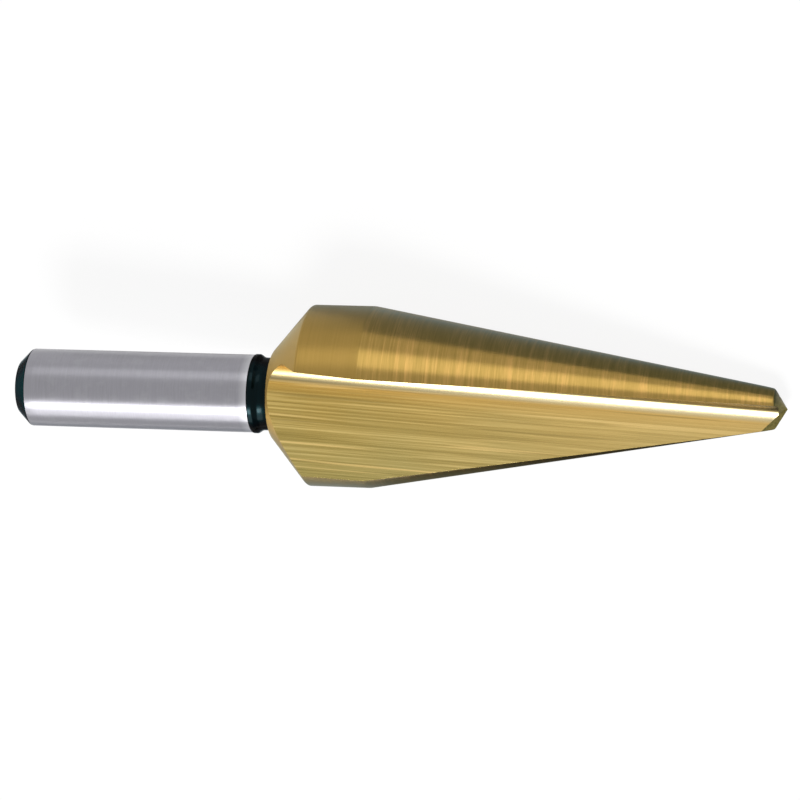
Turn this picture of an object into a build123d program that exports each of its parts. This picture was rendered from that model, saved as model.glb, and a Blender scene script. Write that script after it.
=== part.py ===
from build123d import *
import os
from math import cos, radians, sin, tan

# Shank, from its end face to the unground ring
shank_diameter = 6.0
shank_length = 18.7
shank_chamfer = 0.95

# Unground ring and neck between the shank and the head
ring_diameter = 6.1
ring_width = 0.4
neck_diameter = 5.6
neck_step_length = 0.4
neck_length = 0.8

# Head: back cone, cylindrical land, cutting cone and drill point
rim_diameter = 7.0
back_cone_angle = 49.5
land_diameter = 14.0
land_length = 4.75
cone_angle = 20.0
tip_diameter = 3.2
point_angle = 118.0
lobe_relief = 0.05

# Two straight flutes, half a turn apart: each is a rounded V that climbs towards the shank
flute_turns = (0, 180)
web_thickness = 0.2
flute_angle = 76.75
root_radius = 1.25
root_side_offset = 0.54
flute_slope = 5.35
flute_side_slope = 3.35

# Split point: one small notch behind each cutting lip
notch_angle = 45.0
notch_dip = 30.0
notch_setback = 0.25

# Cutters reach past the metal by this much, and corners are found within this distance
overrun = 2.0
corner_tolerance = 0.01

# Stations along the drill's axis, measured from the shank's end face
ring_end = shank_length + ring_width
neck_start = ring_end + neck_step_length
rim_station = neck_start + neck_length
back_cone_length = (land_diameter - rim_diameter) / 2 / tan(radians(back_cone_angle))
land_start = rim_station + back_cone_length
land_end = land_start + land_length
cone_end = land_end + (land_diameter - tip_diameter) / 2 / tan(radians(cone_angle / 2))
apex = cone_end + tip_diameter / 2 / tan(radians(point_angle / 2))

# The drill is modelled along this plane's x axis, and each flute opens along its z axis
drill_plane = Plane(origin=(0, 0, 0), x_dir=(1, 0, 0), z_dir=(0, 0, 1))


def plane_at(side, point, x_direction, z_direction):
    """Give the plane whose origin and directions are written in the side plane's own terms."""
    origin = side.from_local_coords(Vector(point))
    x_tip = side.from_local_coords(Vector(point) + Vector(x_direction))
    z_tip = side.from_local_coords(Vector(point) + Vector(z_direction))
    return Plane(origin=origin, x_dir=x_tip - origin, z_dir=z_tip - origin)


with BuildPart() as straight_drill:
    # Two turned heads, each off centre, share only what both hold, so the lobes fall away
    for turn in flute_turns:
        side = drill_plane.rotated((turn, 0, 0))
        off_centre = plane_at(side, (0, lobe_relief, 0), (1, 0, 0), (0, 0, 1))
        with BuildSketch(off_centre):
            with BuildLine():
                Polyline(
                    (rim_station, 0),
                    (rim_station, rim_diameter / 2),
                    (land_start, land_diameter / 2),
                    (land_end, land_diameter / 2),
                    (cone_end, tip_diameter / 2),
                    (apex, 0),
                    close=True,
                )
            make_face()
        head_mode = Mode.INTERSECT if turn else Mode.ADD
        revolve(axis=Axis(off_centre.origin, off_centre.x_dir), mode=head_mode)

    # Flutes
    for turn in flute_turns:
        side = drill_plane.rotated((turn, 0, 0))
        run_back = Vector(-1, tan(radians(flute_side_slope)), tan(radians(flute_slope)))
        start = Vector(apex, root_side_offset, web_thickness / 2) - run_back * overrun
        groove_plane = plane_at(side, start, (0, -1, 0), run_back)
        reach = land_diameter
        with BuildSketch(groove_plane) as groove:
            with BuildLine():
                Polyline(
                    (0, 0),
                    (reach, 0),
                    (reach, reach),
                    (reach / tan(radians(flute_angle)), reach),
                    close=True,
                )
            make_face()
            fillet(groove.vertices().sort_by_distance((0, 0, 0))[0], root_radius)
        extrude(amount=(apex + overrun) / cos(radians(flute_slope)), mode=Mode.SUBTRACT)

    # Split point notches
    for turn in flute_turns:
        side = drill_plane.rotated((turn, 0, 0))
        run_out = Vector(-cos(radians(notch_angle)), -sin(radians(notch_angle)), 0)
        foot = Vector(apex - notch_setback, 0, web_thickness / 2) - run_out * overrun
        notch_plane = plane_at(side, foot, Vector(0, 0, 1).cross(run_out), run_out)
        with BuildSketch(notch_plane):
            with BuildLine():
                Polyline(
                    (0, 0),
                    (tip_diameter, -tip_diameter * tan(radians(notch_dip))),
                    (tip_diameter, tip_diameter),
                    (0, tip_diameter),
                    close=True,
                )
            make_face()
        extrude(amount=overrun + 2 * tip_diameter, mode=Mode.SUBTRACT)

    # Shank, ring and neck, turned with the head from the same bar
    with BuildSketch(drill_plane):
        with BuildLine():
            Polyline(
                (0, 0),
                (0, shank_diameter / 2 - shank_chamfer),
                (shank_chamfer, shank_diameter / 2),
                (shank_length, shank_diameter / 2),
                (shank_length, ring_diameter / 2),
                (ring_end, ring_diameter / 2),
                (neck_start, neck_diameter / 2),
                (rim_station, neck_diameter / 2),
                (rim_station, 0),
                close=True,
            )
        make_face()
    revolve(axis=Axis(drill_plane.origin, drill_plane.x_dir))

# The drill lies flute down, on one cutting edge and on the heel corner of the other lobe
lower_corners = straight_drill.vertices().filter_by(lambda corner: corner.Z < 0)
land_corners = lower_corners.filter_by(lambda corner: abs(corner.X - land_end) < corner_tolerance)
tip_corners = lower_corners.filter_by(lambda corner: abs(corner.X - cone_end) < corner_tolerance)
edge_corner = Vector(*land_corners.sort_by(Axis.Z)[0])
heel_corner = Vector(*land_corners.sort_by(Axis.Y)[-1])
tip_corner = Vector(*tip_corners.sort_by(Axis.Z)[0])
floor_normal = (tip_corner - edge_corner).cross(heel_corner - edge_corner).normalized()
axis_direction = drill_plane.x_dir
level_direction = axis_direction - floor_normal * axis_direction.dot(floor_normal)
floor_plane = Plane(origin=drill_plane.origin, x_dir=level_direction, z_dir=floor_normal)

with BuildPart() as cone_drill:
    add(straight_drill.part.moved(floor_plane.location.inverse()))
cone_drill.part.label = "cone_drill"

os.makedirs("parts", exist_ok=True)
export_step(cone_drill.part, "parts/cone_drill.step")
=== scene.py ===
import bmesh
import bpy
import numpy as np
from math import cos, pi, radians, sin, sqrt, tan
from mathutils import Matrix, Vector


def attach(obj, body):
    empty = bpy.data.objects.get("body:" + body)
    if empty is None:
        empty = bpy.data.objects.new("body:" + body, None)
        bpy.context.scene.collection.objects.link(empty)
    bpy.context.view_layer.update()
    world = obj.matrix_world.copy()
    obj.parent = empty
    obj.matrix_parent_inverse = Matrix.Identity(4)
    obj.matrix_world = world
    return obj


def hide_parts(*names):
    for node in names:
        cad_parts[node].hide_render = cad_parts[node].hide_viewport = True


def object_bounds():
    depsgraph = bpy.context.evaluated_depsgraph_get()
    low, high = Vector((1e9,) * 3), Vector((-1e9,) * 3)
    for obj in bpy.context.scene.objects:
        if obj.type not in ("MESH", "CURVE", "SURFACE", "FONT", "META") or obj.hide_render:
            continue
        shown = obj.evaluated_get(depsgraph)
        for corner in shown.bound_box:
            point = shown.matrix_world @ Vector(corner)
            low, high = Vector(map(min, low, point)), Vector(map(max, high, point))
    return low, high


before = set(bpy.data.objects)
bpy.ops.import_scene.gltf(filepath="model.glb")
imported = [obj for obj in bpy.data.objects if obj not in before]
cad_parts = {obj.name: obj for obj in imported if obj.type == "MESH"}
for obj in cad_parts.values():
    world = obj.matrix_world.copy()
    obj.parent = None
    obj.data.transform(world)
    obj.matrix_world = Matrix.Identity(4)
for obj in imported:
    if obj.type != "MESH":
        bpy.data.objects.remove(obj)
cad_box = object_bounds()

# Sizes of the drill in millimetres, as in the CAD source, along its own x axis
MM = 0.001
SHANK_RADIUS = 3.0
SHANK_LENGTH = 18.7
SHANK_CHAMFER = 0.95
RING_RADIUS = 3.05
RING_END = 19.1
NECK_RADIUS = 2.8
NECK_START = 19.5
RIM_STATION = 20.3
RIM_RADIUS = 3.5
BACK_CONE_ANGLE = radians(49.5)
LAND_RADIUS = 7.0
LAND_LENGTH = 4.75
CONE_HALF_ANGLE = radians(10)
TIP_RADIUS = 1.6
POINT_HALF_ANGLE = radians(59)
LOBE_RELIEF = 0.05
WEB = 0.2
FLUTE_ANGLE = radians(76.75)
FLUTE_SLOPE = radians(5.35)
FLUTE_SIDE_SLOPE = radians(3.35)
ROOT_RADIUS = 1.25
ROOT_SIDE = 0.54
NOTCH_ANGLE = radians(45)
NOTCH_DIP = radians(30)
NOTCH_SETBACK = 0.25
NOTCH_OVERRUN = 2.0

# Stations along the axis. The lobes' relief ends the head a little before the cone's own apex
LAND_START = RIM_STATION + (LAND_RADIUS - RIM_RADIUS) / tan(BACK_CONE_ANGLE)
LAND_END = LAND_START + LAND_LENGTH
CONE_END = LAND_END + (LAND_RADIUS - TIP_RADIUS) / tan(CONE_HALF_ANGLE)
APEX = CONE_END + TIP_RADIUS / tan(POINT_HALF_ANGLE)
POINT_END = APEX - LOBE_RELIEF / tan(POINT_HALF_ANGLE)

# Directions of the groove: its run towards the shank, and its sketch plane, whose u runs along the flat
RUN_BACK = np.array([-1.0, tan(FLUTE_SIDE_SLOPE), tan(FLUTE_SLOPE)])
RUN_UNIT = RUN_BACK / np.linalg.norm(RUN_BACK)
GROOVE_U = np.array([0.0, -1.0, 0.0]) - RUN_UNIT * -RUN_UNIT[1]
GROOVE_U /= np.linalg.norm(GROOVE_U)
GROOVE_V = np.cross(RUN_UNIT, GROOVE_U)
GROOVE_START = np.array([APEX, ROOT_SIDE, WEB / 2])
TANGENT_LENGTH = ROOT_RADIUS / tan(FLUTE_ANGLE / 2)

# How the drill lies: it turns about its own axis, then its point dips to the floor
REST_TURN = radians(-25.829587)
REST_DIP = radians(7.785914)
REST = Matrix.Rotation(REST_DIP, 4, "Y") @ Matrix.Rotation(REST_TURN, 4, "X")
DRILL_AXIS = Matrix.Rotation(REST_DIP, 3, "Y") @ Vector((1, 0, 0))

# This mesh is finer than the CAD's own mesh, so it is kept inside the CAD's box by a few thousandths
# of a millimetre
MESH_LIFT = 0.008 * MM
MESH_NARROWING = 0.99997

# Broken edges and rounded turned corners, in millimetres
EDGE_BREAK = 0.012
HEEL_BREAK = 0.003
CORNER_ROUND = 0.12
CHAMFER_ROUND = 0.08
STEP_BREAK = 0.02
RING_ROUND = 0.06
NECK_ROUND = 0.15

# The mesh has this many steps along each part of a section
LOBE_STEPS = 76
CORNER_STEPS = 4
WALL_STEPS = 10
ROOT_STEPS = 14
FLAT_STEPS = 26

# A row is one section of the drill. There are this many along each part of the shank and the head, and
# those of the back cone crowd towards the station where the groove opens
SHANK_ROWS = 18
OPENING_ROWS = 7
BACK_CONE_ROWS = 33
BACK_CONE_CROWDING = 1.8
LAND_ROWS = 13
CONE_ROWS = 69
POINT_ROWS = 25
WIDE_CORNER_ROWS = 8
LAND_CORNER_ROWS = 6

# Those rows keep this far from the shank's ends, the rim and the point, in millimetres
SHANK_MARGIN = 1.0
RIM_MARGIN = 0.07
POINT_MARGIN = 0.004

# Halvings when a place is closed in on: a point of the groove, and the station where the groove opens.
# The search goes this far along the groove, and a shallower groove counts as none
POINT_HALVINGS = 48
OPENING_HALVINGS = 25
GROOVE_REACH = 3 * LAND_RADIUS
SHALLOWEST_GROOVE = 1e-6

# In metres: vertices nearer than the first are merged, and shorter edges than the second go
MERGE_DISTANCE = 2e-7
SHORTEST_EDGE = 1e-7
SHARP_ANGLE = radians(32)

# Material slots of the drill's mesh
STEEL, BLACK, TURNED, FLUTED, POINT = range(5)

# Direction of the grinding marks, as turns from the way round the drill's axis
MARKS_AROUND = 0.25
MARKS_ALONG = 0.0

# A painted highlight lightens the shank over this length before the ring, in millimetres, and comes in this
# fast
PAINTED_END_HIGHLIGHT_LENGTH = 0.7
PAINTED_END_HIGHLIGHT_SLOPE = 1.5

# Across the flute each shade starts at this place, in millimetres towards the root, and comes in this fast.
# The root's pale strip is a painted highlight, and the undercut is painted shade on its side under the
# cutting edge
WARM_START, WARM_SLOPE = 1.3, 0.6
PAINTED_ROOT_HIGHLIGHT_START, PAINTED_ROOT_HIGHLIGHT_SLOPE = 2.3, 3.5
PAINTED_UNDERCUT_SHADE_START, PAINTED_UNDERCUT_SHADE_SLOPE = 3.12, 7.0

# Along the flute, a paler shade that comes in towards the point, and the fade of the painted root highlight
# and undercut shade towards the shank: slope and level of their line
TOWARD_POINT = (0.0115, -0.3)
PAINT_FADE_TOWARD_SHANK = (-0.045, 1.89)

# Camera, from the fit: its directions and place in the drill's own frame before the last small turn
PICTURE_WIDTH = 800
SENSOR_WIDTH = 36.0
CLIP_START, CLIP_END = 0.01, 10
CAMERA_FOCAL_PIXELS = 3448.4
CAMERA_TURN = radians(-2.2735)
CAMERA_RIGHT = (0.979096, 0.029895, -0.201191)
CAMERA_UP = (-0.029283, 0.999553, 0.006017)
CAMERA_BACK = (0.201281, 0.0, 0.979533)
CAMERA_PLACE = (83.0196, -0.1667, 257.6911)

# Floor and world
FLOOR_HALF_WIDTH = 1.5
FLOOR_SHADE = (0.9, 0.9, 0.9, 1)
FLOOR_GLOW = 0.9
FLOOR_MIRROR_GLOW = 0.25
WORLD_LEVEL = 0.35
WHITE = (1, 1, 1, 1)

# Levels of the cards beside each part of the drill
CARD_SHANK = (0.6, 0.62, 0.66)
CARD_HEAD = (0.38, 0.43, 0.5)
CARD_TIP = (0.3, 0.36, 0.42)
CARD_RIM = (0.2, 0.18, 0.13)
CARD_HEEL = (0.07, 0.06, 0.04)
CARD_BOUNCE = (1.1, 1.1, 1.1)

# Cards that only reflections see: their corners in millimetres from the floor, then their level at each x
# in millimetres
CARD_HEIGHT = 0.05
CARD_RAMP_LENGTH = 100
CARDS = {
    "near_card": (
        ((-20, -45, 0), (27, -45, 0), (27, -12, 0), (-20, -12, 0)),
        [(22, CARD_SHANK), (27, CARD_RIM)],
    ),
    "heel_card": (
        ((27, -45, 0), (95, -45, 0), (72, -0.5, 0), (27, -9, 0)),
        [(29, CARD_RIM), (42, CARD_HEEL)],
    ),
    "far_card": (
        ((24, 7, 0), (66, 0, 0), (66, 5.8, 0), (24, 22.5, 0)),
        [(22, CARD_SHANK), (30, CARD_HEAD), (50, CARD_TIP)],
    ),
    "side_card": (
        ((18, -80, 0), (90, -80, 0), (90, -80, 44), (18, -80, 44)),
        [(22, CARD_SHANK), (30, CARD_HEAD)],
    ),
    "bounce_card": (
        ((-6, 2.5, 0), (18, 2.5, 0), (18, 7, 0), (-6, 7, 0)),
        [(0, CARD_BOUNCE), (10, CARD_BOUNCE)],
    ),
}

# Each lamp hangs where a surface with this lean, in degrees, mirrors it, with this share along the drill
LAMPS = {
    "key": {"lean": -32.5, "along": -0.06, "distance": 0.5, "size": (0.3, 0.46), "watts": 1.7},
    "key_core": {"lean": -27, "along": -0.1, "distance": 0.48, "size": (0.2, 0.12), "watts": 1.45},
    "fill": {"lean": 26.5, "along": 0.18, "distance": 0.5, "size": (0.34, 0.28), "watts": 0.58},
}
LAMP_AIM = DRILL_AXIS * 0.03


def bisect(low, high, is_low, halvings=POINT_HALVINGS):
    """Close in on the place from low to high where the test turns false, and give both its sides."""
    for _ in range(halvings):
        middle = (low + high) / 2
        if is_low(middle):
            low = middle
        else:
            high = middle
    return low, high


def radius_at(x):
    """Give the head's radius at a station, with its corners slightly rounded."""
    knots = [
        (RIM_STATION, RIM_RADIUS),
        (LAND_START, LAND_RADIUS),
        (LAND_END, LAND_RADIUS),
        (CONE_END, TIP_RADIUS),
        (APEX, 0.0),
    ]
    xs, rs = zip(*knots)
    radius = float(np.interp(x, xs, rs))
    slopes = np.diff(rs) / np.diff(xs)
    for i in range(1, len(knots) - 1):
        near = CORNER_ROUND - abs(x - xs[i])
        if near > 0:
            radius -= (slopes[i - 1] - slopes[i]) * near**2 / (4 * CORNER_ROUND)
    return max(radius, 0.0)


def groove_point(x, s):
    """Give the (y, z) of the groove at a station.

    s is negative on the wall, 0 to 1 in the root and more than 1 on the flat.
    """
    if s <= 0:
        u, v = (TANGENT_LENGTH - s) * cos(FLUTE_ANGLE), (TANGENT_LENGTH - s) * sin(FLUTE_ANGLE)
    elif s >= 1:
        u, v = TANGENT_LENGTH + s - 1, 0.0
    else:
        sweep = (pi - FLUTE_ANGLE) * (1 - s)
        u = TANGENT_LENGTH - ROOT_RADIUS * sin(sweep)
        v = ROOT_RADIUS - ROOT_RADIUS * cos(sweep)
    point = GROOVE_START + u * GROOVE_U + v * GROOVE_V
    point = point + RUN_BACK * (x - point[0]) / RUN_BACK[0]
    return point[1:]


def outside(point, radius):
    """Say how far a (y, z) point lies outside the section that the two off-centre circles share."""
    y, z = point
    return sqrt((abs(y) + LOBE_RELIEF) ** 2 + z * z) - radius


def crossing(x, radius, inner, outer):
    """Find where the groove leaves the section, between a point inside it and one outside."""
    inner, outer = bisect(inner, outer, lambda s: outside(groove_point(x, s), radius) < 0)
    return (inner + outer) / 2


def groove_range(x, radius):
    """Give the groove's part inside the section as (wall end, flat end), or None where it misses."""
    # the flat passes nearest to the drill's axis where its y is 0
    deepest, _ = bisect(1.0, 1.0 + GROOVE_REACH, lambda s: groove_point(x, s)[0] > 0)
    if outside(groove_point(x, deepest), radius) >= -SHALLOWEST_GROOVE:
        return None
    wall_end = crossing(x, radius, deepest, -GROOVE_REACH)
    return wall_end, crossing(x, radius, deepest, deepest + GROOVE_REACH)


def eased(count):
    """Give steps from 0 to 1 that are finer near both ends."""
    even = np.linspace(0, 1, count + 1)
    return 0.25 * even + 0.75 * (1 - np.cos(pi * even)) / 2


def rounded_corner(before, corner, after):
    """Give the points of a small rounding from before to after, in place of the corner."""
    t = np.linspace(0, 1, CORNER_STEPS + 1)[1:-1, None]
    return (1 - t) ** 2 * before + 2 * t * (1 - t) * corner + t**2 * after


def direction_of(point):
    """Give the angle of a (y, z) point about the origin."""
    return np.arctan2(point[1], point[0])


def half_section(x, radius, relief):
    """Give half of the drill's section: the lobe's arc, its cutting edge, the groove and the next heel."""
    centre = np.array([-relief, 0.0])
    span = groove_range(x, radius) if relief else None
    if span is None:
        top = np.array([0.0, sqrt(max(radius**2 - relief**2, 0))])
        edge, heel = top, top
        edge_break = heel_break = 0.0
    else:
        start, end = span
        edge, heel = groove_point(x, start), groove_point(x, end)
        room = np.linalg.norm(heel - edge) / 8
        edge_break, heel_break = min(EDGE_BREAK, room), min(HEEL_BREAK, room)
    edge_turn, heel_turn = (size / radius if radius else 0.0 for size in (edge_break, heel_break))
    first, last = direction_of(-heel - centre), direction_of(edge - centre)
    angles = first + heel_turn + (last - first - heel_turn - edge_turn) * np.linspace(0, 1, LOBE_STEPS + 1)
    lobe = centre + radius * np.stack([np.cos(angles), np.sin(angles)], 1)
    if span is None:
        count = 2 * (CORNER_STEPS - 1) + (WALL_STEPS + ROOT_STEPS + FLAT_STEPS + 1)
        return np.concatenate([lobe, np.repeat(top[None], count, 0)])
    start, end = start + edge_break, end - heel_break
    wall = np.clip(start * (1 - eased(WALL_STEPS)), start, None)
    if start > 0:
        wall = np.full(WALL_STEPS + 1, start)
    root = np.clip(np.linspace(0, 1, ROOT_STEPS + 1)[1:], start, end)
    flat_start = float(np.clip(1.0, start, end))
    flat = flat_start + (end - flat_start) * eased(FLAT_STEPS)[1:]
    groove = np.array([groove_point(x, s) for s in (*wall, *root, *flat)])
    next_lobe = direction_of(heel + centre) + heel_turn
    after_heel = -centre + radius * np.array([cos(next_lobe), sin(next_lobe)])
    return np.concatenate([
        lobe,
        rounded_corner(lobe[-1], edge, groove[0]),
        groove,
        rounded_corner(groove[-1], heel, after_heel),
    ])


def shank_rows():
    """List the turned sections from the shank's end to the head's rim, as (x, radius, relief, material)."""
    c = CHAMFER_ROUND
    rows = [(0.0, radius, 0, BLACK) for radius in (0.0, 0.7, 1.4)]
    rows += [
        (0.0, SHANK_RADIUS - SHANK_CHAMFER - c, 0, BLACK),
        (0.4 * c, SHANK_RADIUS - SHANK_CHAMFER + 0.35 * c, 0, BLACK),
        (c, SHANK_RADIUS - SHANK_CHAMFER + c, 0, BLACK),
        (SHANK_CHAMFER - c, SHANK_RADIUS - c, 0, BLACK),
        (SHANK_CHAMFER - 0.3 * c, SHANK_RADIUS - 0.4 * c, 0, BLACK),
        (SHANK_CHAMFER + c, SHANK_RADIUS, 0, STEEL),
    ]
    plain = np.linspace(SHANK_CHAMFER + SHANK_MARGIN, SHANK_LENGTH - SHANK_MARGIN, SHANK_ROWS)
    rows += [(x, SHANK_RADIUS, 0, STEEL) for x in plain]
    rows += [
        (SHANK_LENGTH - STEP_BREAK, SHANK_RADIUS, 0, STEEL),
        (SHANK_LENGTH, SHANK_RADIUS - STEP_BREAK, 0, BLACK),
        (SHANK_LENGTH + STEP_BREAK, RING_RADIUS - RING_ROUND / 2, 0, BLACK),
        (SHANK_LENGTH + RING_ROUND, RING_RADIUS, 0, BLACK),
        (RING_END - RING_ROUND, RING_RADIUS, 0, BLACK),
        (RING_END, RING_RADIUS - RING_ROUND / 2, 0, BLACK),
        (RING_END + 2 * RING_ROUND, RING_RADIUS - 2 * RING_ROUND, 0, BLACK),
        (NECK_START - CHAMFER_ROUND, NECK_RADIUS + STEP_BREAK, 0, BLACK),
        (NECK_START + 0.05, NECK_RADIUS, 0, BLACK),
        (RIM_STATION - NECK_ROUND, NECK_RADIUS, 0, BLACK),
        (RIM_STATION - 0.04, NECK_RADIUS + 0.04, 0, BLACK),
        (RIM_STATION, NECK_RADIUS + NECK_ROUND, 0, BLACK),
        (RIM_STATION, RIM_RADIUS - CHAMFER_ROUND, 0, TURNED),
        (RIM_STATION + 0.025, RIM_RADIUS - STEP_BREAK, LOBE_RELIEF, TURNED),
    ]
    return rows


def steps_to(start, end, count):
    """Give this many even steps from start to end, without the start itself."""
    return np.linspace(start, end, count + 1)[1:]


def head_rows():
    """List the head's sections from its rim to the point, as (x, radius, relief, material)."""
    first = RIM_STATION + RIM_MARGIN
    _, opening = bisect(first, LAND_START, lambda x: groove_range(x, radius_at(x)) is None, OPENING_HALVINGS)
    r = CORNER_ROUND
    xs = np.concatenate([
        [first],
        steps_to(first, opening, OPENING_ROWS),
        opening + (LAND_START - r - opening) * steps_to(0, 1, BACK_CONE_ROWS) ** BACK_CONE_CROWDING,
        steps_to(LAND_START - r, LAND_START + r, WIDE_CORNER_ROWS),
        steps_to(LAND_START + r, LAND_END - r, LAND_ROWS),
        steps_to(LAND_END - r, LAND_END + r, LAND_CORNER_ROWS),
        steps_to(LAND_END + r, CONE_END - r, CONE_ROWS),
        steps_to(CONE_END - r, CONE_END + r, WIDE_CORNER_ROWS),
        steps_to(CONE_END + r, POINT_END - POINT_MARGIN, POINT_ROWS),
    ])
    rows = [(x, radius_at(x), LOBE_RELIEF, POINT if x > CONE_END + STEP_BREAK else TURNED) for x in xs]
    return rows + [(POINT_END, 0.0, 0, POINT)]


def new_mesh_object(name, mesh):
    """Put a mesh in the scene."""
    holder = bpy.data.objects.new(name, mesh)
    bpy.context.scene.collection.objects.link(holder)
    return holder


def add_slots(mesh):
    """Give a mesh the drill's empty material slots."""
    for _ in range(POINT + 1):
        mesh.materials.append(None)


def notch_cutter(turn):
    """Make the prism that cuts one split point notch."""
    out = np.array([-cos(NOTCH_ANGLE), -sin(NOTCH_ANGLE), 0.0])
    across = np.array([sin(NOTCH_ANGLE), -cos(NOTCH_ANGLE), 0.0])
    up = np.array([0.0, 0.0, 1.0])
    foot = np.array([APEX - NOTCH_SETBACK, 0.0, WEB / 2]) - out * NOTCH_OVERRUN
    reach = 2 * TIP_RADIUS
    profile = [(0, 0), (reach, -reach * tan(NOTCH_DIP)), (reach, reach), (0, reach)]
    near = [foot + a * across + b * up for a, b in profile]
    points = near + [p + out * (NOTCH_OVERRUN + 2 * reach) for p in near]
    faces = [(3, 2, 1, 0), (4, 5, 6, 7), (1, 5, 4, 0), (2, 6, 5, 1), (3, 7, 6, 2), (0, 4, 7, 3)]
    mesh = bpy.data.meshes.new("notch_cutter")
    mesh.from_pydata([Vector(p) * MM for p in points], [], faces)
    mesh.transform(Matrix.Rotation(turn, 4, "X"))
    add_slots(mesh)
    mesh.polygons.foreach_set("material_index", [POINT] * len(mesh.polygons))
    return new_mesh_object("notch_cutter", mesh)


def band_material(before, after):
    """Give the material of the band between two rows. The shank is bright only between two bright rows."""
    if after == STEEL and before != STEEL:
        return BLACK
    return after


def loft(rows):
    """Join the sections into one closed mesh along the drill's own x axis."""
    loops = []
    for x, radius, relief, _ in rows:
        half = half_section(x, radius, relief)
        loop = np.concatenate([half, -half])
        loops.append(np.column_stack([np.full(len(loop), x), loop]))
    count = len(loops[0])
    half_count = count // 2
    groove_start = LOBE_STEPS + CORNER_STEPS // 2
    groove_end = half_count - CORNER_STEPS // 2
    builder = bmesh.new()
    grid = [[builder.verts.new(Vector(p) * MM) for p in loop] for loop in loops]
    for j in range(len(rows) - 1):
        material = band_material(rows[j][3], rows[j + 1][3])
        for i in range(count):
            k = (i + 1) % count
            face = builder.faces.new((grid[j][i], grid[j][k], grid[j + 1][k], grid[j + 1][i]))
            in_groove = groove_start <= i % half_count < groove_end
            face.material_index = FLUTED if material in (TURNED, POINT) and in_groove else material
            face.smooth = True
    bmesh.ops.remove_doubles(builder, verts=builder.verts, dist=MERGE_DISTANCE)
    bmesh.ops.dissolve_degenerate(builder, edges=builder.edges, dist=SHORTEST_EDGE)
    bmesh.ops.recalc_face_normals(builder, faces=builder.faces)
    mesh = bpy.data.meshes.new("drill_body")
    builder.to_mesh(mesh)
    builder.free()
    add_slots(mesh)
    return mesh


def make_drill():
    """Loft the drill, cut its two notches and lay it down."""
    drill = new_mesh_object("drill_body", loft(shank_rows() + head_rows()))
    cutters = [notch_cutter(turn) for turn in (0, pi)]
    for cutter in cutters:
        cut = drill.modifiers.new("notch", "BOOLEAN")
        cut.operation = "DIFFERENCE"
        cut.solver = "EXACT"
        cut.object = cutter
    bpy.context.view_layer.update()
    graph = bpy.context.evaluated_depsgraph_get()
    final = bpy.data.meshes.new_from_object(drill.evaluated_get(graph))
    drill.modifiers.clear()
    drill.data = final
    for cutter in cutters:
        bpy.data.objects.remove(cutter)
    final.set_sharp_from_angle(angle=SHARP_ANGLE)
    final.transform(REST)
    final.transform(Matrix.Translation((0, 0, MESH_LIFT)) @ Matrix.Diagonal((1, MESH_NARROWING, 1, 1)))
    return drill


class Nodes:
    """A short way to build a node tree."""

    def __init__(self, tree):
        self.tree = tree

    def put(self, socket, value):
        """Link a socket to another node's, or set its value."""
        if isinstance(value, bpy.types.NodeSocket):
            self.tree.links.new(value, socket)
        else:
            socket.default_value = value

    def add(self, kind, inputs=None, **settings):
        """Add a node with these settings and inputs."""
        node = self.tree.nodes.new(kind)
        for key, value in settings.items():
            setattr(node, key, value)
        for key, value in (inputs or {}).items():
            self.put(node.inputs[key], value)
        return node

    def finish(self, shader):
        """Send a shader to the surface."""
        output = self.add("ShaderNodeOutputMaterial")
        self.tree.links.new(shader.outputs[0], output.inputs["Surface"])

    def math(self, operation, *values, clamp=False):
        """Give a sum, a product or another function of the values."""
        node = self.add("ShaderNodeMath", dict(enumerate(values)), operation=operation, use_clamp=clamp)
        return node.outputs[0]

    def scaled(self, value, factor):
        """Give value times factor."""
        return self.math("MULTIPLY", value, factor)

    def line(self, value, slope, level, clamp=False):
        """Give value times slope plus level."""
        return self.math("MULTIPLY_ADD", value, slope, level, clamp=clamp)

    def rise(self, value, start, slope):
        """Give 0 up to the start and then a rise by this slope, up to 1."""
        return self.math("MULTIPLY", self.math("SUBTRACT", value, start), slope, clamp=True)

    def noise(self, vector, scale, detail=3.0, roughness=0.5):
        """Give smooth noise from 0 to 1."""
        inputs = {"Vector": vector, "Scale": scale, "Detail": detail, "Roughness": roughness}
        return self.add("ShaderNodeTexNoise", inputs, noise_dimensions="3D").outputs["Fac"]

    def ramp(self, value, stops):
        """Give a colour from a list of (position, colour)."""
        node = self.add("ShaderNodeValToRGB", {"Fac": value})
        elements = node.color_ramp.elements
        while len(elements) < len(stops):
            elements.new(0.5)
        for element, (position, colour) in zip(elements, stops):
            element.position = position
            element.color = (*colour, 1.0)
        return node.outputs["Color"]

    def mix(self, factor, first, second):
        """Mix two colours, each a socket or a plain colour."""
        node = self.add("ShaderNodeMix", data_type="RGBA")
        self.put(node.inputs[0], factor)
        for socket, colour in ((node.inputs[6], first), (node.inputs[7], second)):
            self.put(socket, colour if isinstance(colour, bpy.types.NodeSocket) else (*colour, 1.0))
        return node.outputs[2]


def new_material(name):
    """Start a material with an empty node tree."""
    material = bpy.data.materials.new(name)
    material.use_nodes = True
    material.node_tree.nodes.clear()
    return material, Nodes(material.node_tree)


def srgb(r, g, b):
    """Turn 0 to 255 screen values into linear ones."""
    return tuple(c / 3294.6 if c < 10.32 else ((c / 255 + 0.055) / 1.055) ** 2.4 for c in (r, g, b))


def drill_coordinates(nodes):
    """Give the place on the drill in millimetres, in the drill's own frame, and its x, y and z."""
    place = nodes.add("ShaderNodeTexCoord").outputs["Object"]
    settings = {"Vector": place, "Rotation": (REST_TURN, REST_DIP, 0), "Scale": (MM, MM, MM)}
    own = nodes.add("ShaderNodeMapping", settings, vector_type="TEXTURE").outputs[0]
    x, y, z = nodes.add("ShaderNodeSeparateXYZ", {0: own}).outputs[:3]
    return own, x, y, z


def combined(nodes, x, y, z):
    """Join three values into a vector."""
    return nodes.add("ShaderNodeCombineXYZ", {"X": x, "Y": y, "Z": z}).outputs[0]


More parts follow.
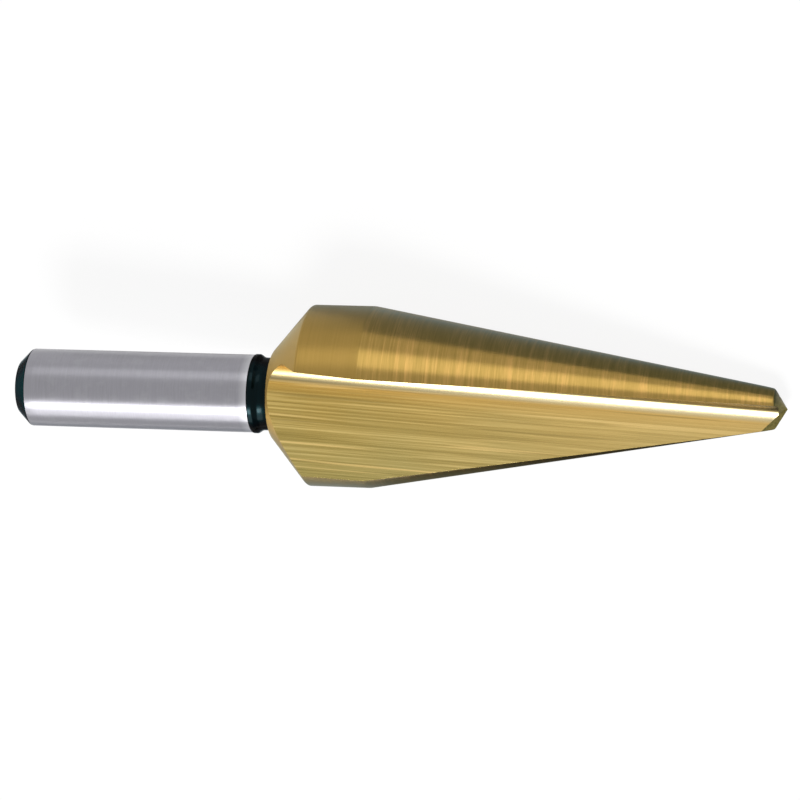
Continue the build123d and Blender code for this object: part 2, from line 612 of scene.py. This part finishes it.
def finish_metal(nodes, colour, roughness, marks, *, depth, strength, anisotropic, direction):
    """Wire colour, roughness, bump and the direction of the grinding marks to a metal shader."""
    shader = nodes.add("ShaderNodeBsdfPrincipled", {"Base Color": colour, "Roughness": roughness})
    shader.inputs["Metallic"].default_value = 1.0
    shader.inputs["Anisotropic"].default_value = anisotropic
    shader.inputs["Anisotropic Rotation"].default_value = direction
    bump = nodes.add("ShaderNodeBump", {"Height": marks, "Strength": strength, "Distance": depth * MM})
    nodes.tree.links.new(bump.outputs["Normal"], shader.inputs["Normal"])
    place = nodes.add("ShaderNodeTexCoord").outputs["Object"]
    around = nodes.add("ShaderNodeVectorMath", {0: tuple(DRILL_AXIS), 1: place}, operation="CROSS_PRODUCT")
    tangent = nodes.add("ShaderNodeVectorMath", {0: around.outputs[0]}, operation="NORMALIZE")
    nodes.tree.links.new(tangent.outputs[0], shader.inputs["Tangent"])
    nodes.finish(shader)
    return shader


def ring_noise(nodes, along, around, detail=4.0, roughness=0.6):
    """Give noise drawn out into marks round the drill's axis."""
    _, x, y, z = drill_coordinates(nodes)
    angle = nodes.math("ARCTAN2", z, y)
    c, s = nodes.math("COSINE", angle), nodes.math("SINE", angle)
    vector = combined(nodes, nodes.scaled(x, along), nodes.scaled(c, around), nodes.scaled(s, around))
    return nodes.noise(vector, 1.0, detail, roughness)


def steel_material():
    """Bright ground steel: very fine rings round the shank, faint cloudy patches and a painted highlight at
    its end.
    """
    material, nodes = new_material("ground_steel")
    own, x, _, _ = drill_coordinates(nodes)
    rings = ring_noise(nodes, 11.0, 1.6)
    patches = nodes.noise(own, 0.5, 3.0)
    clouds = nodes.noise(own, 1.1, 4.0, 0.6)
    colour = nodes.ramp(rings, [(0.3, srgb(137, 136, 141)), (0.7, srgb(149, 148, 154))])
    colour = nodes.mix(nodes.scaled(patches, 0.8), colour, srgb(141, 140, 146))
    colour = nodes.mix(nodes.line(clouds, 2.0, -1.05, clamp=True), colour, srgb(158, 158, 162))
    # painted highlight: lighter colour over the shank's end by the ring
    painted_end_highlight = nodes.rise(x, SHANK_LENGTH - PAINTED_END_HIGHLIGHT_LENGTH, PAINTED_END_HIGHLIGHT_SLOPE)
    colour = nodes.mix(painted_end_highlight, colour, srgb(176, 176, 180))
    roughness = nodes.line(rings, 0.08, nodes.line(clouds, 0.22, 0.235))
    finish_metal(
        nodes, colour, roughness, rings, depth=0.01, strength=0.2, anisotropic=0.8, direction=MARKS_AROUND)
    return material


def black_material():
    """Black oxide over turned steel, with fine turning rings, a bluish cast and an oiled sheen."""
    material, nodes = new_material("black_oxide")
    own, x, _, _ = drill_coordinates(nodes)
    rings = ring_noise(nodes, 8.0, 0.7)
    patches = nodes.noise(own, 1.2, 4.0)
    colour = nodes.ramp(rings, [(0.3, srgb(1, 12, 14)), (0.75, srgb(4, 22, 25))])
    colour = nodes.mix(nodes.scaled(patches, 0.5), colour, srgb(2, 11, 13))
    colour = nodes.mix(nodes.math("LESS_THAN", x, SHANK_CHAMFER), colour, srgb(12, 54, 56))
    roughness = nodes.line(patches, 0.15, 0.18)
    shader = finish_metal(
        nodes, colour, roughness, rings, depth=0.01, strength=0.3, anisotropic=0.3, direction=MARKS_AROUND)
    shader.inputs["Specular Tint"].default_value = (0.25, 0.3, 0.32, 1)
    shader.inputs["Coat Weight"].default_value = 0.09
    shader.inputs["Coat Roughness"].default_value = 0.1
    shader.inputs["Coat IOR"].default_value = 1.5
    return material


def turned_gold_material():
    """Gold coating over ground rings: smooth on the back cone and the land, streaky on the cutting cone."""
    material, nodes = new_material("gold_rings")
    own, x, _, _ = drill_coordinates(nodes)
    fine = ring_noise(nodes, 7.0, 1.1, 5.0, 0.7)
    streaks = ring_noise(nodes, 2.4, 0.9, 3.0, 0.6)
    rings = nodes.line(streaks, 0.35, nodes.scaled(fine, 0.65))
    patches = nodes.noise(own, 0.35, 3.0)
    on_cone = nodes.math("GREATER_THAN", x, LAND_END)
    land = nodes.ramp(fine, [(0.3, srgb(144, 118, 60)), (0.7, srgb(158, 128, 68))])
    cone_stops = [(0.36, srgb(132, 109, 55)), (0.5, srgb(150, 123, 66)), (0.62, srgb(177, 140, 80))]
    cone = nodes.ramp(rings, cone_stops)
    colour = nodes.mix(on_cone, land, cone)
    colour = nodes.mix(nodes.scaled(patches, 0.4), colour, srgb(146, 119, 60))
    # painted light: the back cone's colour is lightened to make up for the shaded floor it mirrors
    colour = nodes.mix(nodes.math("LESS_THAN", x, LAND_START), colour, srgb(170, 138, 74))
    roughness = nodes.line(on_cone, -0.1, nodes.line(rings, 0.14, 0.33))
    shader = finish_metal(
        nodes, colour, roughness, rings, depth=0.02, strength=0.3, anisotropic=0.85, direction=MARKS_AROUND)
    shader.inputs["Specular Tint"].default_value = (0.82, 0.97, 1.0, 1)
    return material


def point_gold_material():
    """Olive coating on the freshly ground facets of the point."""
    material, nodes = new_material("gold_point")
    own, _, _, _ = drill_coordinates(nodes)
    grain = nodes.noise(own, 6.0, 4.0)
    colour = nodes.ramp(grain, [(0.35, srgb(92, 86, 48)), (0.65, srgb(114, 105, 62))])
    roughness = nodes.line(grain, 0.1, 0.28)
    finish_metal(
        nodes, colour, roughness, grain, depth=0.01, strength=0.2, anisotropic=0.3, direction=MARKS_ALONG)
    return material


def flute_place(nodes, x, y, z):
    """Give the place across the flute, which grows from the heel to the root, and the height above it."""
    side = nodes.math("SIGN", z)
    across = nodes.line(x, float(RUN_BACK[1]), nodes.math("MULTIPLY", y, side))
    height = nodes.line(x, float(RUN_BACK[2]), nodes.math("ABSOLUTE", z))
    return across, height


def paint_root_highlight_and_shade(nodes, colour, x, across):
    """Paint a highlight on the rounded root, and painted shade under the cutting edge, both fading towards
    the shank.
    """
    # how far the painted root highlight and undercut shade have faded towards the shank
    paint_fade_toward_shank = nodes.line(x, *PAINT_FADE_TOWARD_SHANK, clamp=True)
    # painted highlight on the rounded root, darker towards the shank
    painted_root_highlight = nodes.mix(paint_fade_toward_shank, srgb(186, 172, 134), srgb(112, 100, 68))
    colour = nodes.mix(nodes.rise(across, PAINTED_ROOT_HIGHLIGHT_START, PAINTED_ROOT_HIGHLIGHT_SLOPE), colour, painted_root_highlight)
    # painted shade under the cutting edge, lighter towards the shank
    painted_undercut_shade = nodes.mix(paint_fade_toward_shank, srgb(74, 64, 38), srgb(134, 110, 60))
    return nodes.mix(nodes.rise(across, PAINTED_UNDERCUT_SHADE_START, PAINTED_UNDERCUT_SHADE_SLOPE), colour, painted_undercut_shade)


def fluted_gold_material():
    """Gold coating over the long brush lines of the flutes, with a few deeper and a few brighter lines."""
    material, nodes = new_material("gold_brushed")
    own, x, y, z = drill_coordinates(nodes)
    across, height = flute_place(nodes, x, y, z)

    def lines(along, scale, detail, roughness):
        """Give noise drawn out into lines along the flute."""
        drawn = nodes.scaled(x, along), nodes.scaled(across, scale), nodes.scaled(height, scale)
        return nodes.noise(combined(nodes, *drawn), 1.0, detail, roughness)

    fine = lines(0.07, 7.0, 4.0, 0.6)
    broad = lines(0.03, 1.3, 2.0, 0.5)
    sparse = lines(0.05, 3.1, 1.0, 0.5)
    patches = nodes.noise(own, 0.22, 2.0)
    grain = nodes.line(broad, 0.2, nodes.scaled(fine, 0.8))
    gold_stops = [(0.36, srgb(147, 122, 60)), (0.5, srgb(166, 140, 76)), (0.64, srgb(194, 167, 100))]
    olive_stops = [(0.36, srgb(137, 124, 70)), (0.5, srgb(156, 141, 84)), (0.64, srgb(180, 164, 108))]
    colour, olive = nodes.ramp(grain, gold_stops), nodes.ramp(grain, olive_stops)
    outward = nodes.line(across, -0.16, nodes.line(patches, 0.8, -0.1), clamp=True)
    colour = nodes.mix(outward, colour, olive)
    colour = nodes.mix(nodes.rise(across, WARM_START, WARM_SLOPE), colour, srgb(184, 143, 68))
    colour = nodes.mix(nodes.line(x, *TOWARD_POINT, clamp=True), colour, srgb(224, 194, 130))
    deep = nodes.line(sparse, -14.0, 5.0, clamp=True)
    colour = nodes.mix(nodes.scaled(deep, 0.4), colour, srgb(122, 104, 56))
    bright = nodes.line(sparse, 14.0, -8.6, clamp=True)
    colour = nodes.mix(nodes.scaled(bright, 0.6), colour, srgb(218, 188, 122))
    colour = paint_root_highlight_and_shade(nodes, colour, x, across)
    roughness = nodes.line(grain, 0.16, 0.2)
    finish_metal(
        nodes, colour, roughness, grain, depth=0.02, strength=0.3, anisotropic=0.6, direction=MARKS_ALONG)
    return material


def backdrop_rays(nodes):
    """Give 1 for the rays that should see the white background, else 0."""
    path = nodes.add("ShaderNodeLightPath").outputs
    seen = nodes.math("ADD", path["Is Camera Ray"], path["Is Glossy Ray"], clamp=True)
    return nodes.math("ADD", seen, path["Is Transmission Ray"], clamp=True)


def make_floor():
    """Lay the pale floor under the drill.

    It is white to the camera and in reflections, and keeps the shadow.
    """
    lowest = cad_box[0].z
    half = FLOOR_HALF_WIDTH
    corners = [(-half, -half, lowest), (half, -half, lowest), (half, half, lowest), (-half, half, lowest)]
    mesh = bpy.data.meshes.new("floor")
    mesh.from_pydata(corners, [], [(0, 1, 2, 3)])
    floor = new_mesh_object("floor", mesh)
    material, nodes = new_material("floor_white")
    matte = nodes.add("ShaderNodeBsdfDiffuse", {"Color": FLOOR_SHADE})
    glow = nodes.add("ShaderNodeEmission", {"Color": WHITE, "Strength": 1.0})
    path = nodes.add("ShaderNodeLightPath").outputs
    mirrored = nodes.scaled(backdrop_rays(nodes), FLOOR_MIRROR_GLOW)
    factor = nodes.math("MAXIMUM", mirrored, nodes.scaled(path["Is Camera Ray"], FLOOR_GLOW))
    mixed = nodes.add("ShaderNodeMixShader", {0: factor, 1: matte.outputs[0], 2: glow.outputs[0]})
    clear = nodes.add("ShaderNodeBsdfTransparent")
    below = nodes.add("ShaderNodeNewGeometry").outputs["Backfacing"]
    nodes.finish(nodes.add("ShaderNodeMixShader", {0: below, 1: mixed.outputs[0], 2: clear.outputs[0]}))
    mesh.materials.append(material)
    return floor


def make_card(name, corners, levels):
    """Set up a card that only reflections see, as a studio does to shape metal. Its level varies along x."""
    level = cad_box[0].z / MM + CARD_HEIGHT
    mesh = bpy.data.meshes.new(name)
    mesh.from_pydata([Vector((x, y, level + z)) * MM for x, y, z in corners], [], [(0, 1, 2, 3)])
    card = new_mesh_object(name, mesh)
    material, nodes = new_material(name)
    place = nodes.add("ShaderNodeTexCoord").outputs["Object"]
    x = nodes.add("ShaderNodeSeparateXYZ", {0: place}).outputs["X"]
    along = nodes.scaled(x, 1 / (CARD_RAMP_LENGTH * MM))
    colour = nodes.ramp(along, [(position / CARD_RAMP_LENGTH, shade) for position, shade in levels])
    nodes.finish(nodes.add("ShaderNodeEmission", {"Color": colour, "Strength": 1.0}))
    mesh.materials.append(material)
    card.visible_camera = False
    card.visible_diffuse = False
    card.visible_shadow = False
    card.visible_transmission = False
    return card


def make_world():
    """White to the camera and in reflections, and a plain soft level for everything else."""
    world = bpy.data.worlds.new("studio")
    bpy.context.scene.world = world
    world.use_nodes = True
    world.node_tree.nodes.clear()
    nodes = Nodes(world.node_tree)
    soft = nodes.add("ShaderNodeBackground", {"Color": WHITE, "Strength": WORLD_LEVEL})
    white = nodes.add("ShaderNodeBackground", {"Color": WHITE, "Strength": 1.0})
    shades = {0: backdrop_rays(nodes), 1: soft.outputs[0], 2: white.outputs[0]}
    mixed = nodes.add("ShaderNodeMixShader", shades)
    output = nodes.add("ShaderNodeOutputWorld")
    nodes.tree.links.new(mixed.outputs[0], output.inputs["Surface"])


def make_camera():
    """Set the camera where the fit of the photograph's outline puts it."""
    data = bpy.data.cameras.new("camera")
    data.sensor_width = SENSOR_WIDTH
    data.lens = CAMERA_FOCAL_PIXELS * SENSOR_WIDTH / PICTURE_WIDTH
    data.clip_start, data.clip_end = CLIP_START, CLIP_END
    camera = bpy.data.objects.new("camera", data)
    bpy.context.scene.collection.objects.link(camera)
    turn = REST.to_3x3() @ Matrix.Rotation(CAMERA_TURN, 3, "X")
    right, up, back = (turn @ Vector(v) for v in (CAMERA_RIGHT, CAMERA_UP, CAMERA_BACK))
    place = turn @ Vector(CAMERA_PLACE) * MM
    camera.matrix_world = Matrix.Translation(place) @ Matrix((right, up, back)).transposed().to_4x4()
    bpy.context.scene.camera = camera
    return camera


def reflected(camera, lean, along):
    """Give the way to what a surface mirrors when it leans by these degrees to the picture's top."""
    camera_way = (camera.location - LAMP_AIM).normalized()
    picture_up = camera.matrix_world.col[1].to_3d().normalized()
    swing = radians(2 * lean)
    way = camera_way * cos(swing) + picture_up * sin(swing)
    return way - DRILL_AXIS * (way.dot(DRILL_AXIS) - along)


def soft_box(name, camera, *, lean, along, distance, size, watts):
    """Hang a rectangular lamp that faces the drill, where the leaning surface mirrors it."""
    lamp = bpy.data.lights.new(name, "AREA")
    lamp.shape = "RECTANGLE"
    lamp.size, lamp.size_y = size
    lamp.energy = watts
    holder = bpy.data.objects.new(name, lamp)
    bpy.context.scene.collection.objects.link(holder)
    away = reflected(camera, lean, along).normalized()
    holder.location = LAMP_AIM + away * distance
    # the lamp's long side runs along the drill
    z = away
    x = (DRILL_AXIS - z * DRILL_AXIS.dot(z)).normalized()
    y = z.cross(x)
    holder.rotation_euler = Matrix((x, y, z)).transposed().to_euler()
    return holder


bpy.context.scene.view_settings.view_transform = "Standard"
drill = make_drill()
materials = {
    STEEL: steel_material(),
    BLACK: black_material(),
    TURNED: turned_gold_material(),
    FLUTED: fluted_gold_material(),
    POINT: point_gold_material(),
}
for index, material in materials.items():
    drill.data.materials[index] = material
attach(drill, "root")
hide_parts("cone_drill")
make_floor()
for name, (corners, levels) in CARDS.items():
    make_card(name, corners, levels)
make_world()
camera = make_camera()
for name, settings in LAMPS.items():
    soft_box(name, camera, **settings)
